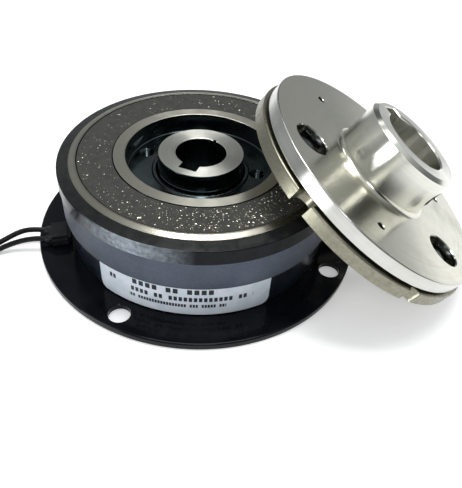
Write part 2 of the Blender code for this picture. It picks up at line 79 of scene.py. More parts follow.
# ---- details that the looks add to the CAD's shapes
UP = (0, 0, 1)
STEPS = 192                  # facets round the large turned pieces
UNIT_STEPS = 240             # and round the polished ones of the armature unit
SMOOTH_ANGLE = 34.0          # edges sharper than this stay sharp
CUT_PAST = 2.0               # how far a cutter reaches past the piece

BOLT_CIRCLE_R = 45.0
BOLT_HOLE_R = 3.1
BOLT_TURN = 67.0             # angle of the first bolt hole
LOCATING_BORE_R = 21.0
YOKE_WALL = 3.6
YOKE_FLOOR = 4.2
YOKE_CORE_R = 24.6
LABEL_ANGLES = (-127.0, -55.5)
LABEL_CORNER = 2.2
LABEL_THICK = 0.15
GLAND = (-41.4, -14.1)
GLAND_SIZE = (6.4, 8.4, 3.6)
GLAND_ROUND = 0.9
GLAND_CLEARANCE = 0.1
GLAND_ANGLE = math.degrees(math.atan2(GLAND[1], GLAND[0]))
COLLAR = ((0, 1.3), (1.4, 1.25), (1.9, 1.1), (2.0, 0.86))
COLLAR_BACK = 1.6            # how much of the collar is inside the gland
PASSAGE = (4.2, 7.2)         # heights of the wires' hole at the yoke wall's two faces
PASSAGE_R = 1.1

POLE_R = 38.0                # outer edge of the friction face
LINING_R = (25.6, 36.0)      # the groove that the lining sits in
LINING_DEPTH = 3.0
LINING_SIDE = 0.3            # gap between lining and groove
LINING_FACETS = (540, 30)    # round the ring, and across it
CHIP_COUNT = 1000
CHIP_SIZES = (0.08, 0.11, 0.14, 0.18, 0.22, 0.3)
GLINT_CLUSTER = (-62, 42)     # middle and spread, in degrees, of where most chips go: painted glints, extra bright chips standing in for the sparkle the light gives the front right
GLINT_CLUSTER_SHARE = 0.62
RECESS_R = 22.1
RECESS_Z = 22.6
LIP = 0.45                   # height of the small ring round the sleeve
SLEEVE_R = 20.6
SHOULDER_DROP = 1.2
BAND_LOW = 22.7
SKIRT_R = 41.2
SKIRT_INNER_R = 40.2
SKIRT_LOW = 13.5
DISC_LOW = 22.2
FLUX_SLOTS = (30.0, 150.0, 270.0)      # curved openings in the disc, under the lining
FLUX_SLOT_SPAN = 90.0
FLUX_SLOT_R = (29.6, 32.0)
PULLER_HOLES = ((18.6, 160.0), (17.0, -1.0))
PULLER_HOLE_R = 2.0
PULLER_HOLE_DEPTH = 9.0
ROTOR_BORE_R = 7.5
ROTOR_KEY = (5.0, 2.3, -108.0)         # width, depth and angle
NOTCH_ANGLE = 62.0           # small mark in the rotor bore's edge
PAINTED_REFLECTION_ANGLE = -110.0         # where a pale reflection is painted on the rim

HUB_BORE_R = 10.0
HUB_KEY = (6.0, 2.5, 131.0)
PLATE_LOW = 4.5
PLATE_TOP = 8.45
SPIGOT_R = 17.0
SPRING_GROOVE_R = (24.0, 32.8)
SPRING_GROOVE_TOP = 5.0
BOSS_R = 15.5
BOSS_FILLET = 1.6
BOSS_EDGE = 0.9
BOSS_CHAMFER = 1.2
WINDOW_R = 5.2
SCREW_ANGLES = (-42.0, 131.0)
SCREW_HEIGHT = 15.0
SCREW_R = 2.5
SCREW_HOLE_R = 2.8
SCREW_STARTS = (10.3, 12.8)  # inner ends, the second one's over the keyway
SCREW_SINK = 1.0             # below the boss's surface
SOCKET = ((0, 0.5), (0.5, 1.44), (1.55, 1.44), (1.95, 1.8))
SOCKET_DEPTH = 2.8
RIVET_CIRCLE_R = 28.4
ARMATURE_RIVETS = (-161.0, -41.0, 79.0)
HUB_RIVETS = (-101.0, 19.0, 139.0)
SHANK_R = 1.5
SHANK_HOLE_R = 1.8
SPRING_W = 6.4
SPRING_Z = (4.25, 4.6)
SPRING_SPAN = 60.0           # from a hub rivet to the next armature rivet
ARMATURE_BORE_R = 22.0
RIM_SLOTS = (-132.0, -12.0, 108.0)
RIM_SLOT_W = 5.2
RIM_SLOT_DEPTH = 5.6
BALANCE_CUT = -76.0
BALANCE_CUT_R = 2.0

# ---- sizes of the lead wires
LEAD_R = 0.8
LEAD_LENGTH = 350.0
LEAD_ROUTES = (
    ((-45.7, -13.2, 4.15), (-47.3, -13.3, 4.25), (-49.5, -13.55, 4.3), (-51.8, -14.0, 4.15),
     (-54.1, -15.0, 3.7), (-56.4, -16.55, 3.0), (-58.4, -18.05, 2.35), (-60.3, -19.45, 1.75),
     (-62.2, -20.55, 1.35), (-64.2, -21.3, 1.15), (-66.4, -21.7, 1.1), (-69.1, -21.8, 1.2)),
    ((-44.5, -16.85, 4.1), (-46.8, -17.1, 4.1), (-49.4, -17.45, 3.85), (-51.9, -17.9, 3.35),
     (-54.2, -18.5, 2.7), (-56.4, -19.4, 2.05), (-58.4, -20.6, 1.5), (-60.3, -21.85, 1.15),
     (-62.2, -22.95, 1.0), (-64.2, -23.8, 1.0), (-66.4, -24.4, 1.1), (-69.1, -24.6, 1.2)),
)
COIL_X = -75.5
TURN_R = (10.6, 8.98, 7.36)  # the coil's turns, outermost first
LAYER_Z = (1.05, 2.68)
COIL_ENTRY_LIFT = 0.15       # the wire comes down this much as it starts round
COIL_STEP = 8.0              # degrees from point to point
TIP_R = (0.45, 0.25)         # the bare core, and its rounded end
TIE_ANGLE = 35.0


# ---- helpers for shapes
def polar(radius, degrees, height=0.0):
    angle = math.radians(degrees)
    return Vector((radius * math.cos(angle), radius * math.sin(angle), height))


def section(angle, inner, outer, low, high):
    """The four corners of a flat ring's section."""
    return [polar(inner, angle, low), polar(outer, angle, low), polar(outer, angle, high),
            polar(inner, angle, high)]


def finish_mesh(name, shape):
    bmesh.ops.recalc_face_normals(shape, faces=shape.faces)
    mesh = bpy.data.meshes.new(name)
    shape.to_mesh(mesh)
    shape.free()
    return mesh


def put(name, data):
    made = bpy.data.objects.new(name, data)
    bpy.context.scene.collection.objects.link(made)
    return made


def add_piece(name, mesh, looks, where, smooth_angle=SMOOTH_ANGLE):
    """Places the mesh, which is drawn in the frame that where gives.

    The frame's turn goes into the mesh and not into the object, so that the object's box, which
    lies along the world's axes, fits the piece closely.
    """
    mesh.transform(where.to_quaternion().to_matrix().to_4x4())
    made = put(name, mesh)
    made.matrix_world = Matrix.Translation(where.to_translation())
    for look in looks:
        mesh.materials.append(look)
    if smooth_angle:
        mesh.shade_smooth()
        mesh.set_sharp_from_angle(angle=math.radians(smooth_angle))
    return made


def add_shape(name, shape, look, where, smooth_angle=SMOOTH_ANGLE):
    """Places the solids that a bmesh holds, all in one look."""
    return add_piece(name, finish_mesh(name, shape), [LOOKS[look]], where, smooth_angle)


def add_turned(name, corners, looks, where, steps=STEPS):
    """Places the outline's turned solid. The look in each corner is a place in looks."""
    mesh = turned_mesh(name, outline(corners), steps)
    return add_piece(name, mesh, [LOOKS[look] for look in looks], where)


def stand_for(made, body, slot, *nodes):
    """The piece takes the CAD nodes' place and moves with the body. The slot is not used."""
    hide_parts(*nodes)
    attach(made, body)
    return made


def outline(corners):
    """Corners are (radius, height, rounding, look). Returns (radius, height, look) points.

    A look belongs to the surface from its corner to the next. A rounded corner becomes an arc
    between two extra points just outside it, which keep the flat faces beside it flat.
    """
    made = []
    for i, (r, z, size, look) in enumerate(corners):
        if size == 0:
            made.append((r, z, look))
            continue
        here = Vector((r, z))
        before = Vector(corners[i - 1][:2]) - here
        after = Vector(corners[(i + 1) % len(corners)][:2]) - here
        half = before.angle(after) / 2
        reach = min(size / math.tan(half), 0.45 * before.length, 0.45 * after.length)
        size = reach * math.tan(half)
        inwards = (before.normalized() + after.normalized()).normalized()
        middle = here + inwards * (size / math.sin(half))
        start = here + before.normalized() * reach
        end = here + after.normalized() * reach
        look_in = corners[i - 1][3]
        outer = min(0.04, 0.05 * before.length)
        made.append((*(start + before.normalized() * outer), look_in))
        a = (start - middle).normalized()
        b = (end - middle).normalized()
        steps = 3 if size < 0.5 else 7
        for k in range(steps + 1):
            point = middle + size * (a * (1 - k / steps) + b * (k / steps)).normalized()
            made.append((point.x, point.y, look_in if k < steps else look))
        outer = min(0.04, 0.05 * after.length)
        made.append((*(end + after.normalized() * outer), look))
    return made


def turned_mesh(name, points, steps):
    """The closed outline of (radius, height, look) points turned about Z."""
    shape = bmesh.new()
    rings = []
    for step in range(steps):
        angle = 360 * step / steps
        rings.append([shape.verts.new(polar(r, angle, z) * MM) for r, z, _ in points])
    for here, after in zip(rings, rings[1:] + rings[:1]):
        for i, point in enumerate(points):
            j = (i + 1) % len(points)
            face = shape.faces.new((here[i], after[i], after[j], here[j]))
            face.material_index = point[2]
    return finish_mesh(name, shape)


def stack(shape, place, axis, sections, steps=48, look=0):
    """Adds a round solid along axis: sections are (distance along it, radius)."""
    turn = Vector(axis).to_track_quat("Z", "Y").to_matrix().to_4x4()
    local = Matrix.Translation(Vector(place)) @ turn
    prism(shape, [[local @ polar(radius, 360 * k / steps, along) for k in range(steps)]
                  for along, radius in sections], look)


def prism(shape, rows, look=0):
    """Adds a solid through rows of points, each row a closed section, with flat ends."""
    rings = [[shape.verts.new(Vector(point) * MM) for point in row] for row in rows]
    faces = []
    for here, after in zip(rings, rings[1:]):
        for k in range(len(here)):
            j = (k + 1) % len(here)
            faces.append(shape.faces.new((here[k], here[j], after[j], after[k])))
    faces += [shape.faces.new(rings[0]), shape.faces.new(rings[-1])]
    for face in faces:
        face.material_index = look


def thread(start, half_pitch, count, first, second):
    """Sections of a thread: two radii that take turns, each half a pitch further along."""
    return [(start + half_pitch * k, second if k % 2 else first) for k in range(count)]


def flared_hole(low, high, radius, edge):
    """Sections of a cutter for a through hole with both edges broken."""
    deep = high - low
    return [(0, radius + edge + CUT_PAST), (CUT_PAST, radius + edge), (CUT_PAST + edge, radius),
            (CUT_PAST + deep - edge, radius), (CUT_PAST + deep, radius + edge),
            (2 * CUT_PAST + deep, radius + edge + CUT_PAST)]


def keyway_rows(key, bore, low, high, edge=0.2):
    """Sections of a cutter for a keyway, with its edges broken at both faces."""
    width, depth, angle = key
    along = polar(1, angle)
    across = polar(1, angle + 90)
    rows = []
    for z, grow in ((low - 1, edge + 1), (low, edge), (low + edge, 0), (high - edge, 0),
                    (high, edge), (high + 1, edge + 1)):
        start, reach = bore * 0.4, bore + depth + grow
        side = width / 2 + grow
        rows.append([along * a + across * b + Vector((0, 0, z)) for a, b in
                     ((start, -side), (reach, -side), (reach, side), (start, side))])
    return rows


def carve(target, where, *builds):
    """Cuts the shapes that the functions build out of the piece, and applies the cuts."""
    tools = []
    for build in builds:
        shape = bmesh.new()
        build(shape)
        tool = add_piece("cut", finish_mesh("cut", shape), (), where, 0)
        step = target.modifiers.new("cut", "BOOLEAN")
        step.operation = "DIFFERENCE"
        step.solver = "EXACT"
        step.object = tool
        tools.append(tool)
    bpy.context.view_layer.update()
    evaluated = target.evaluated_get(bpy.context.evaluated_depsgraph_get())
    mesh = bpy.data.meshes.new_from_object(evaluated)
    target.modifiers.clear()
    target.data = mesh
    mesh.shade_smooth()
    mesh.set_sharp_from_angle(angle=math.radians(SMOOTH_ANGLE))
    even = target.modifiers.new("even_normals", "WEIGHTED_NORMAL")
    even.keep_sharp = True
    for tool in tools:
        bpy.data.objects.remove(tool, do_unlink=True)


# ---- helpers for materials
# Colours are given as they look on a screen, 0 to 255.
def linear(colour, *alpha):
    """The colour in the linear values that nodes take."""
    return (*((c / 255 / 12.92) if c < 10.3 else ((c / 255 + 0.055) / 1.055) ** 2.4
              for c in colour), *alpha)


def shader_of(made):
    return made.node_tree.nodes["Principled BSDF"]


def new_look(name, colour, roughness, metallic=0.0, **sockets):
    made = bpy.data.materials.new(name)
    made.use_nodes = True
    shader = shader_of(made)
    shader.inputs["Base Color"].default_value = linear(colour, 1.0)
    shader.inputs["Roughness"].default_value = roughness
    shader.inputs["Metallic"].default_value = metallic
    for socket, value in sockets.items():
        shader.inputs[socket.replace("_", " ")].default_value = value
    made.diffuse_color = linear(colour, 1.0)
    return made


def add(made, kind, inputs, **settings):
    """Adds a node and returns its outputs. An input is a value or another node's output."""
    node = made.node_tree.nodes.new("ShaderNode" + kind)
    for key, value in settings.items():
        setattr(node, key, value)
    for key, value in inputs.items():
        if isinstance(value, bpy.types.NodeSocket):
            made.node_tree.links.new(value, node.inputs[key])
        else:
            node.inputs[key].default_value = value
    return node.outputs


def maths(made, operation, *values):
    return add(made, "Math", dict(enumerate(values)), operation=operation)[0]


def total(made, *values):
    return reduce(lambda so_far, value: maths(made, "ADD", so_far, value), values)


def product(made, *values):
    return reduce(lambda so_far, value: maths(made, "MULTIPLY", so_far, value), values)


def between(made, value, low, high):
    return product(made, maths(made, "GREATER_THAN", value, low),
                   maths(made, "LESS_THAN", value, high))


def vectors(made, operation, first, other=None):
    inputs = {0: first}
    if other is not None:
        inputs["Scale" if operation == "SCALE" else 1] = other
    outputs = add(made, "VectorMath", inputs, operation=operation)
    return outputs["Value" if operation in ("DOT_PRODUCT", "LENGTH") else "Vector"]


def here_in(made, kind="Object"):
    return add(made, "TexCoord", {})[kind]


def parts_of(made, vector):
    return add(made, "SeparateXYZ", {0: vector})


def place_mm(made, lean=0.0):
    """The point on the piece in millimetres, with Z along its axis, which leans in the object."""
    here = vectors(made, "SCALE", here_in(made), 1 / MM)
    if lean:
        here = add(made, "VectorRotate", {"Vector": here, "Angle": -lean},
                   rotation_type="Y_AXIS")[0]
    return here


def ring_place(made, stretch=0.0, lean=0.0):
    """Radius, height and, times stretch, the distance round the axis, in millimetres."""
    x, y, z = parts_of(made, place_mm(made, lean))
    flat = add(made, "CombineXYZ", {"X": x, "Y": y})[0]
    ring = add(made, "CombineXYZ", {"X": vectors(made, "LENGTH", flat), "Z": z})[0]
    if not stretch:
        return ring
    around = vectors(made, "SCALE", vectors(made, "NORMALIZE", flat), stretch)
    return vectors(made, "ADD", ring, around)


def grain(made, place, scale, detail=3.0, roughness=0.55, distortion=0.0):
    return add(made, "TexNoise", {"Vector": place, "Scale": scale, "Detail": detail,
                                  "Roughness": roughness, "Distortion": distortion})[0]


def specks(made, place, scale):
    """The distance to the nearest speck."""
    return add(made, "TexVoronoi", {"Vector": place, "Scale": scale})["Distance"]


def ramp(made, value, low, high, out_low=0.0, out_high=1.0):
    return add(made, "MapRange", {0: value, 1: low, 2: high, 3: out_low, 4: out_high})[0]


def mixed(made, share, first, second):
    return add(made, "Mix", {0: share, 6: first, 7: second}, data_type="RGBA")[2]


def give(made, socket, value):
    made.node_tree.links.new(value, shader_of(made).inputs[socket])


def tint(made, share, colour, other):
    give(made, "Base Color", mixed(made, share, linear(colour, 1.0), linear(other, 1.0)))


def vary_gloss(made, value, low, high, start=0.3, end=0.7):
    """Roughness runs from low to high as the value does from start to end."""
    give(made, "Roughness", ramp(made, value, start, end, low, high))


def bump(made, height, depth_mm, under=None):
    inputs = {"Height": height, "Distance": depth_mm * MM, "Strength": 1.0}
    if under is not None:
        inputs["Normal"] = under
    normal = add(made, "Bump", inputs)[0]
    give(made, "Normal", normal)
    return normal


def turn_marks(made, lean):
    """Makes the gloss follow the rings that a lathe leaves round the piece's axis."""
    axis = (math.sin(lean), 0.0, math.cos(lean))
    along = vectors(made, "CROSS_PRODUCT", axis, here_in(made))
    along = add(made, "VectorTransform", {0: along}, vector_type="VECTOR",
                convert_from="OBJECT", convert_to="WORLD")[0]
    give(made, "Tangent", vectors(made, "NORMALIZE", along))
    shader_of(made).inputs["Anisotropic Rotation"].default_value = 0.25


# ---- materials
def turned_metal(name, colour, dark, roughness, pitch=2.6, groove=0.004, anisotropy=0.6,
                 smudge=0.12, lean=0.0, contrast=1.0):
    """Machined metal: fine rings left by the tool, uneven gloss, and faint handling marks."""
    made = new_look(name, colour, roughness, 1.0, Anisotropic=anisotropy)
    rings = ring_place(made, 0.0, lean)
    fine = grain(made, rings, pitch, 4.0, 0.7)
    broad = grain(made, rings, pitch * 0.16, 2.0)
    marks = grain(made, place_mm(made, lean), 0.13, 4.0, 0.6, 0.6)
    tint(made, total(made, ramp(made, broad, 0.35, 0.65, 0.0, 0.3 * contrast),
                     ramp(made, marks, 0.4, 0.75, 0.0, 0.25),
                     ramp(made, fine, 0.3, 0.7, 0.0, 0.45 * contrast)), colour, dark)
    gloss = ramp(made, fine, 0.3, 0.7, roughness * 0.8, roughness * 1.2)
    give(made, "Roughness", total(made, gloss, ramp(made, marks, 0.45, 0.7, 0.0, smudge)))
    bump(made, fine, groove)
    turn_marks(made, lean)
    return made


def oxide(name, colour, other, roughness, cloud=0.18, groove=0.003, pitch=3.0, specular=0.5,
          metallic=0.0):
    """Black oxide on turned steel: dark, glossy, with cloudy patches and a few pale specks."""
    made = new_look(name, colour, roughness, metallic, Specular_IOR_Level=specular)
    place = place_mm(made)
    clouds = grain(made, place, cloud, 5.0, 0.6, 0.4)
    dull = ramp(made, specks(made, place, 0.5), 0.05, 0.12, 0.25, 0.0)
    gloss = ramp(made, clouds, 0.35, 0.7, roughness * 0.75, roughness * 1.35)
    tint(made, ramp(made, clouds, 0.35, 0.7), colour, other)
    give(made, "Roughness", total(made, gloss, dull))
    bump(made, grain(made, ring_place(made), pitch, 4.0, 0.7), groove)
    return made


def band_oxide():
    """Glossy black oxide of the rotor's rim, with one pale patch of painted reflection."""
    made = oxide("band_oxide", (12, 14, 17), (24, 27, 30), 0.2, 0.22, 0.003, 3.0, 0.09)
    place = place_mm(made)
    x, y, _ = parts_of(made, place)
    turn = maths(made, "ARCTAN2", y, x)
    # painted reflection: a pale patch round one angle of the rim, broken up by noise
    away = maths(made, "ABSOLUTE", maths(made, "SUBTRACT", turn, math.radians(PAINTED_REFLECTION_ANGLE)))
    near = ramp(made, away, 0.06, 0.42, 1.0, 0.0)
    rough = ramp(made, grain(made, place, 0.7, 4.0, 0.6), 0.3, 0.7, 0.3, 0.9)
    under = shader_of(made).inputs["Base Color"].links[0].from_socket
    with_painted_reflection = mixed(made, product(made, near, rough), under, linear((158, 168, 178), 1.0))
    give(made, "Base Color", with_painted_reflection)
    return made


def enamel():
    """Stoved black enamel: glossy, with the slight waviness of a sprayed coat and some dust."""
    black = (10, 11, 15)
    made = new_look("black_enamel", black, 0.12, 0.0, Specular_IOR_Level=0.13)
    place = place_mm(made)
    clouds = grain(made, place, 0.09, 4.0, 0.6)
    dust = ramp(made, specks(made, place, 0.9), 0.03, 0.06, 0.4, 0.0)
    tint(made, total(made, ramp(made, clouds, 0.4, 0.75, 0.0, 0.5), dust), black, (24, 26, 32))
    vary_gloss(made, clouds, 0.1, 0.18, 0.35)
    bump(made, grain(made, place, 1.1, 2.0), 0.01)
    return made


def skirt_finish():
    """Satin grey-blue steel of the rotor's skirt, with upright polishing marks."""
    made = new_look("skirt_finish", (80, 88, 100), 0.42, 0.85, Anisotropic=0.3)
    fine = grain(made, ring_place(made, 60.0), 1.6, 5.0, 0.65)
    clouds = grain(made, place_mm(made), 0.07, 3.0)
    tint(made, total(made, ramp(made, fine, 0.3, 0.75, 0.0, 0.4),
                     ramp(made, clouds, 0.35, 0.7, 0.0, 0.5)), (84, 91, 103), (56, 63, 75))
    vary_gloss(made, fine, 0.36, 0.5)
    bump(made, fine, 0.003)
    return made


def lining_body():
    """Moulded friction material: dark, matt and pitted."""
    dark = (43, 44, 41)
    made = new_look("lining_body", dark, 0.72, 0.0, Specular_IOR_Level=0.35)
    place = place_mm(made)
    coarse = grain(made, place, 0.45, 4.0, 0.65)
    fine = grain(made, place, 3.2, 4.0, 0.7)
    fibres = product(made, specks(made, place, 1.7), 0.6)
    tint(made, total(made, ramp(made, coarse, 0.35, 0.7, 0.0, 0.55),
                     ramp(made, fine, 0.35, 0.75, 0.0, 0.45)), dark, (67, 67, 61))
    vary_gloss(made, fine, 0.5, 0.85)
    bump(made, coarse, 0.06, bump(made, total(made, fine, fibres), 0.05))
    return made


def chip_metal():
    """Metal chips worn bright in the lining."""
    made = new_look("chip_metal", (232, 228, 214), 0.22, 1.0)
    place = place_mm(made)
    fine = grain(made, place, 4.0, 3.0)
    tint(made, ramp(made, grain(made, place, 1.1), 0.35, 0.65), (238, 235, 222), (176, 170, 150))
    vary_gloss(made, fine, 0.14, 0.4)
    bump(made, fine, 0.02)
    return made


LABEL_ROWS = (               # low, high, a bar's pitch, the gaps' share, and both ends
    (10.4, 12.2, 1.9, 0.3, -77.5, -54.5),
    (7.6, 9.2, 1.35, 0.32, -79.5, -44.0),
    (5.3, 6.5, 0.8, 0.25, -78.5, -51.5),
    (9.0, 10.6, 1.2, 0.3, -85.0, -82.5),
)


def label_film():
    """Pale silver-blue film with rows of plain printed bars."""
    made = new_look("label_film", (194, 202, 213), 0.38, 0.1)
    place = place_mm(made)
    x, y, z = parts_of(made, place)
    around = product(made, maths(made, "ARCTAN2", y, x), 40.0)
    marks = 0.0
    for low, high, pitch, gap, start, end in LABEL_ROWS:
        cell = maths(made, "DIVIDE", around, pitch)
        pick = add(made, "TexWhiteNoise", {"W": maths(made, "FLOOR", cell)},
                   noise_dimensions="1D")[0]
        bar = product(made, between(made, z, low, high), between(made, around, start, end),
                      maths(made, "GREATER_THAN", maths(made, "FRACT", cell), gap),
                      maths(made, "GREATER_THAN", pick, 0.12))
        marks = maths(made, "MAXIMUM", marks, bar)
    film = grain(made, place, 0.25, 3.0)
    paper = mixed(made, ramp(made, film, 0.35, 0.65), linear((190, 201, 210), 1.0),
                  linear((206, 212, 222), 1.0))
    give(made, "Base Color", mixed(made, marks, paper, linear((24, 26, 34), 1.0)))
    vary_gloss(made, film, 0.32, 0.46)
    bump(made, film, 0.01)
    return made


def soft_black(name, tone, roughness, scale):
    """Black rubber or PVC: soft sheen, fine moulded texture and a little dust."""
    made = new_look(name, tone, roughness, 0.0, Specular_IOR_Level=0.22)
    place = place_mm(made)
    fine = grain(made, place, scale, 4.0)
    dust = grain(made, place, 0.4, 4.0, 0.7)
    tint(made, ramp(made, dust, 0.45, 0.8), tone, [c + 16 for c in tone])
    vary_gloss(made, fine, roughness * 0.8, roughness * 1.2)
    bump(made, fine, 0.02)
    return made


def mottled(name, colour, other, roughness, metallic, scale, depth=0.01):
    """A cast, plated or moulded surface with mottled colour and a fine grain."""
    made = new_look(name, colour, roughness, metallic)
    fine = grain(made, place_mm(made), scale, 4.0, 0.6)
    tint(made, ramp(made, fine, 0.35, 0.7), colour, other)
    vary_gloss(made, fine, roughness * 0.75, roughness * 1.25)
    bump(made, fine, depth)
    return made


WIRE_PITCH = 0.5


def winding_look():
    """Enamelled copper wire laid in neat turns."""
    made = new_look("winding_copper", (176, 96, 44), 0.3, 1.0)
    z = parts_of(made, ring_place(made))[2]
    turns = maths(made, "SINE", product(made, z, 2 * math.pi / WIRE_PITCH))
    tint(made, ramp(made, turns, -1.0, 1.0), (112, 52, 22), (190, 108, 54))
    vary_gloss(made, turns, 0.5, 0.25, -1.0, 1.0)
    bump(made, turns, 0.06)
    return made


# ---- camera, floor and light
CAMERA_LENS = 39.68
CAMERA_RISE = 42.66
CAMERA_ROLL = 4.88
CAMERA_FAR = 182.8
CAMERA_TARGET = (FIELD_X + 11.08, 0.0, -7.2)

FLOOR_GLOW = 0.34            # the floor is lit from below near the object, like a light table
FLOOR_FADE = (0.3, 0.75)     # distances over which that light fades out
FLOOR_DULL = (0.7, 2.0)      # and over which the floor turns greyer
FLOOR_BELOW = 0.0002
WORLD_SEEN = 0.8             # plain pale backdrop behind the floor
WORLD_BASE = 0.40
WORLD_LOBES = (              # towards, inner and outer angle, strength added there
    ((0.0, 0.735, 0.678), 14.0, 34.0, -0.30),
    ((1.0, -0.1, 0.05), 14.0, 40.0, -0.22),
    ((-0.285, 0.735, 0.616), 8.0, 20.0, 0.25),
    ((0.1, 0.1, 1.0), 20.0, 45.0, 0.45),
    ((-0.95, 0.1, 0.05), 10.0, 34.0, -0.12),
    ((0.55, 0.83, 0.05), 8.0, 26.0, -0.06),
    ((0.3, -0.92, 0.2), 14.0, 28.0, -0.39),
    ((-0.93, 0.18, 0.28), 8.0, 24.0, 0.2),
)
LIGHTS = (                   # place, the height it is aimed at, size and power
    ("key", (0.02, 0.12, 1.05), 0, (0.6, 0.26), 7.0),
    ("back", (0.05, 0.545, 0.84), 0, (0.3, 0.15), 0.42),
    ("fill", (0.1, -0.75, 0.75), 0, (0.25, 0.25), 1.5),
    ("side", (-0.62, -0.46, 0.15), 0.03, (0.34, 0.22), 2.6),
)


def make_camera():
    data = bpy.data.cameras.new("camera")
    data.lens = CAMERA_LENS
    data.clip_start = 0.01
    camera = put("camera", data)
    turn = Matrix.Rotation(math.radians(90 - CAMERA_RISE), 4, "X")
    back = turn.col[2].to_3d() * CAMERA_FAR
    turn = turn @ Matrix.Rotation(math.radians(CAMERA_ROLL), 4, "Z")
    camera.matrix_world = Matrix.Translation((Vector(CAMERA_TARGET) + back) * MM) @ turn
    bpy.context.scene.camera = camera


def make_lights():
    for name, place, aim, size, power in LIGHTS:
        data = bpy.data.lights.new(name, "AREA")
        data.shape = "RECTANGLE"
        data.size, data.size_y = size
        data.energy = power
        made = put(name, data)
        made.location = place
        towards = Vector((0, 0, aim)) - Vector(place)
        made.rotation_euler = towards.to_track_quat("-Z", "Y").to_euler()


def make_world():
    """A soft studio that lights and is mirrored unevenly, in front of a plain pale backdrop."""
    world = bpy.data.worlds.new("studio")
    world.use_nodes = True
    bpy.context.scene.world = world
    towards = here_in(world, "Generated")
    strength = WORLD_BASE
    for aim, inner, outer, added in WORLD_LOBES:
        near = vectors(world, "DOT_PRODUCT", towards, tuple(Vector(aim).normalized()))
        share = add(world, "MapRange", {0: near, 1: math.cos(math.radians(outer)),
                                        2: math.cos(math.radians(inner)), 3: 0.0, 4: added},
                    interpolation_type="SMOOTHSTEP")[0]
        strength = total(world, strength, share)
    seen = add(world, "LightPath", {})["Is Camera Ray"]
    strength = ramp(world, seen, 0.0, 1.0, strength, WORLD_SEEN)
    sky = world.node_tree.nodes["Background"]
    sky.inputs["Color"].default_value = (0.95, 0.98, 1.0, 1.0)
    world.node_tree.links.new(strength, sky.inputs["Strength"])


def make_floor():
    pale, duller = [233.65] * 3, [197.261] * 3
    look = new_look("floor_white", pale, 0.9, Specular_IOR_Level=0.0,
                    Emission_Color=(1.0, 1.0, 1.0, 1.0))
    far = vectors(look, "LENGTH", here_in(look))
    tint(look, ramp(look, far, *FLOOR_DULL), pale, duller)
    give(look, "Emission Strength", ramp(look, far, *FLOOR_FADE, FLOOR_GLOW, 0.0))
    shape = bmesh.new()
    bmesh.ops.create_grid(shape, x_segments=1, y_segments=1, size=6.0)
    where = Matrix.Translation((0, 0, -FLOOR_BELOW))
    add_piece("floor", finish_mesh("floor", shape), [look], where)


# ---- the lead wires
def smooth_route(points, spacing):
    """Evenly spaced points on a smooth curve through the given ones."""
    points = [Vector(p) for p in points]
    ends = [2 * points[0] - points[1], *points, 2 * points[-1] - points[-2]]
    dense = []
    for a, b, c, d in zip(ends, ends[1:], ends[2:], ends[3:]):
        for k in range(20):
            t = k / 20
            dense.append(0.5 * (2 * b + (c - a) * t + (2 * a - 5 * b + 4 * c - d) * t * t
                                + (3 * b - a - 3 * c + d) * t ** 3))
    dense.append(points[-1])
    lengths = [0.0]
    for a, b in zip(dense, dense[1:]):
        lengths.append(lengths[-1] + (b - a).length)
    count = round(lengths[-1] / spacing)
    result, at = [], 0
    for k in range(count + 1):
        want = lengths[-1] * k / count
        while at < len(dense) - 2 and lengths[at + 1] < want:
            at += 1
        part = (want - lengths[at]) / (lengths[at + 1] - lengths[at])
        result.append(dense[at].lerp(dense[at + 1], part))
    return result


def eased(value, start, end):
    t = min(max((value - start) / (end - start), 0.0), 1.0)
    return t * t * (3 - 2 * t)


def coil_point(middle_y, side, turned):
    """The wire's place in its coil after it has gone round by that many degrees.

    It winds inwards in the lower layer, climbs, and winds outwards in the upper one. Each
    step to the next turn is at its own part of the circle, so that no turns cross.
    """
    outer, mid, inner = TURN_R
    low, high = LAYER_Z
    radius = outer + (mid - outer) * eased(turned, 300, 360)
    radius += (inner - mid) * eased(turned, 660, 720)
    radius += (mid - inner) * eased(turned, 1260, 1320)
    radius += (outer - mid) * eased(turned, 1620, 1680)
    height = low + (high - low) * eased(turned, 960, 1020)
    height += COIL_ENTRY_LIFT * (1 - eased(turned, 0, 60))
    return Vector((COIL_X, middle_y, 0)) + polar(radius, side * (-90 - turned), height)


def make_lead(number):
    side = 1 if number == 1 else -1
    points = smooth_route(LEAD_ROUTES[number - 1], 1.3)
    entry = points[-1]
    middle_y = entry.y + side * TURN_R[0]
    points += [entry.lerp(Vector((COIL_X, entry.y, entry.z)), k / 5) for k in range(1, 5)]
    length = sum((b - a).length for a, b in zip(points, points[1:]))
    turned = 0.0
    while length < LEAD_LENGTH:
        point = coil_point(middle_y, side, turned)
        length += (point - points[-1]).length
        points.append(point)
        turned += COIL_STEP
    curve = bpy.data.curves.new(f"lead_{number}", "CURVE")
    curve.dimensions = "3D"
    curve.bevel_depth = LEAD_R * MM
    curve.bevel_resolution = 5
    curve.use_fill_caps = True
    spline = curve.splines.new("POLY")
    spline.points.add(len(points) - 1)
    for point, place in zip(spline.points, points):
        point.co = (*(place * MM), 1.0)
    curve.materials.append(LOOKS["lead"])
    lead = put(f"lead_{number}", curve)
    lead.matrix_world = FIELD
    stand_for(lead, "stator", "lead_insulation", f"lead_wire_{number}", f"lead_coil_{number}")
    last = turned - COIL_STEP
    tip = make_tip(number, [coil_point(middle_y, side, last + k * 6) for k in range(6)])
    tie = make_tie(number, middle_y, side)


